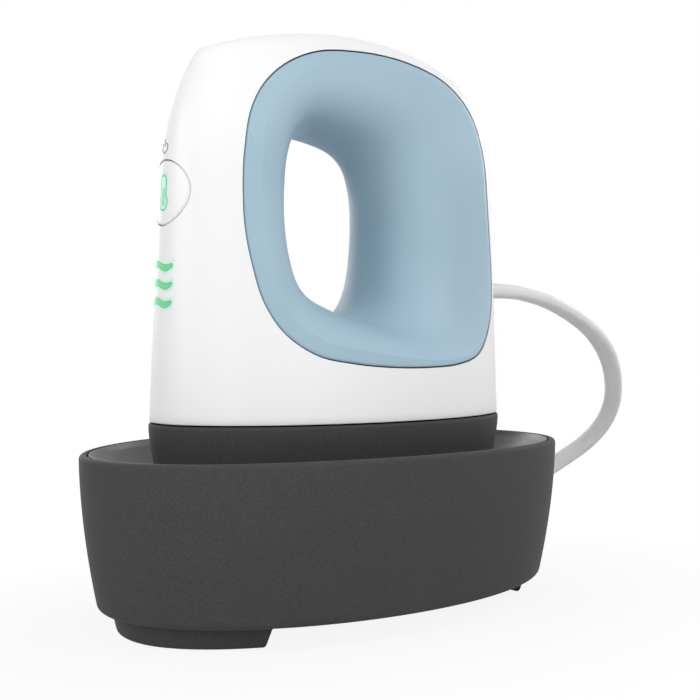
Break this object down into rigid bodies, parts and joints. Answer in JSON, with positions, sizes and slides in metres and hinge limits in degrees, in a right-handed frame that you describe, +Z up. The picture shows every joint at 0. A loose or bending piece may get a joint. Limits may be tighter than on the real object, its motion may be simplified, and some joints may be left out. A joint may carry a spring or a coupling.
{
  "type": "mini heat press",
  "caption": "Small hand-held heat press with a finger opening and a lit front button, standing in its insulated safety base with a flat lead and plug.",
  "frame": {"origin": "on the floor, under the middle of the safety base", "axes": "+Z up; the front, with the button and the wave lights, looks along -Y; the finger opening runs along X; the lead leaves towards +Y"},
  "size_m": [0.1617, 0.1794, 0.1265],
  "materials": {
    "charcoal_plastic": "fine grained",
    "dish_plastic": "fine grained",
    "black_rubber": "matte",
    "coated_plate": "ceramic coated, satin",
    "steel": "plated",
    "white_plastic": "gloss",
    "blue_grip": "soft satin",
    "insulating_fibre": "felted",
    "inner_plastic": "moulded",
    "board_laminate": "varnished",
    "dark_component": "moulded",
    "pale_component": "moulded",
    "green_light": "lit from behind",
    "lead_vinyl": "smooth"
  },
  "bodies": {
    "base": {"base_shell": "charcoal_plastic", "base_liner": "dish_plastic", "front_foot_pad": "black_rubber", "rear_foot_pad": "black_rubber", "rest_pad_1": "black_rubber", "rest_pad_2": "black_rubber", "rest_pad_3": "black_rubber", "rest_pad_4": "black_rubber", "base_screw_1": "steel", "base_screw_2": "steel", "base_screw_3": "steel", "base_screw_4": "steel", "cord_run": "lead_vinyl", "cord_coil": "lead_vinyl", "coil_tie": "black_rubber", "plug_body": "lead_vinyl", "plug_blade_1": "steel", "plug_blade_2": "steel"},
    "press": {"heat_plate": "coated_plate", "heat_collar": "charcoal_plastic", "outer_shell": "white_plastic", "right_grip_liner": "blue_grip", "left_grip_liner": "blue_grip", "wave_light_1": "green_light", "wave_light_2": "green_light", "wave_light_3": "green_light", "cord_strain_relief": "lead_vinyl", "heating_element": "steel", "element_clamp": "steel", "clamp_screw_1": "steel", "clamp_screw_2": "steel", "insulation_pad": "insulating_fibre", "thermistor": "pale_component", "thermal_fuse": "steel", "plate_screw_1": "steel", "plate_screw_2": "steel", "plate_screw_3": "steel", "plate_screw_4": "steel", "inner_chassis": "inner_plastic", "shell_screw_1": "steel", "shell_screw_2": "steel", "control_board": "board_laminate", "board_screw_1": "steel", "board_screw_2": "steel", "control_chip": "dark_component", "tact_switch": "dark_component", "film_capacitor": "pale_component", "buzzer": "dark_component", "triac": "dark_component", "button_led": "pale_component", "wave_led_1": "pale_component", "wave_led_2": "pale_component", "wave_led_3": "pale_component", "cord_clamp": "inner_plastic"},
    "button": {"power_button": "white_plastic", "button_lens": "green_light", "switch_plunger": "dark_component"}
  },
  "joints": [
    {"name": "press_lift", "type": "slide", "parent": "base", "child": "press", "axis": [0, 0, 1], "range_m": [0, 0.06]},
    {"name": "button_press", "type": "slide", "parent": "press", "child": "button", "axis": [0, 1, 0], "range_m": [0, 0.0005], "stiffness_N_per_m": 400}
  ]
}
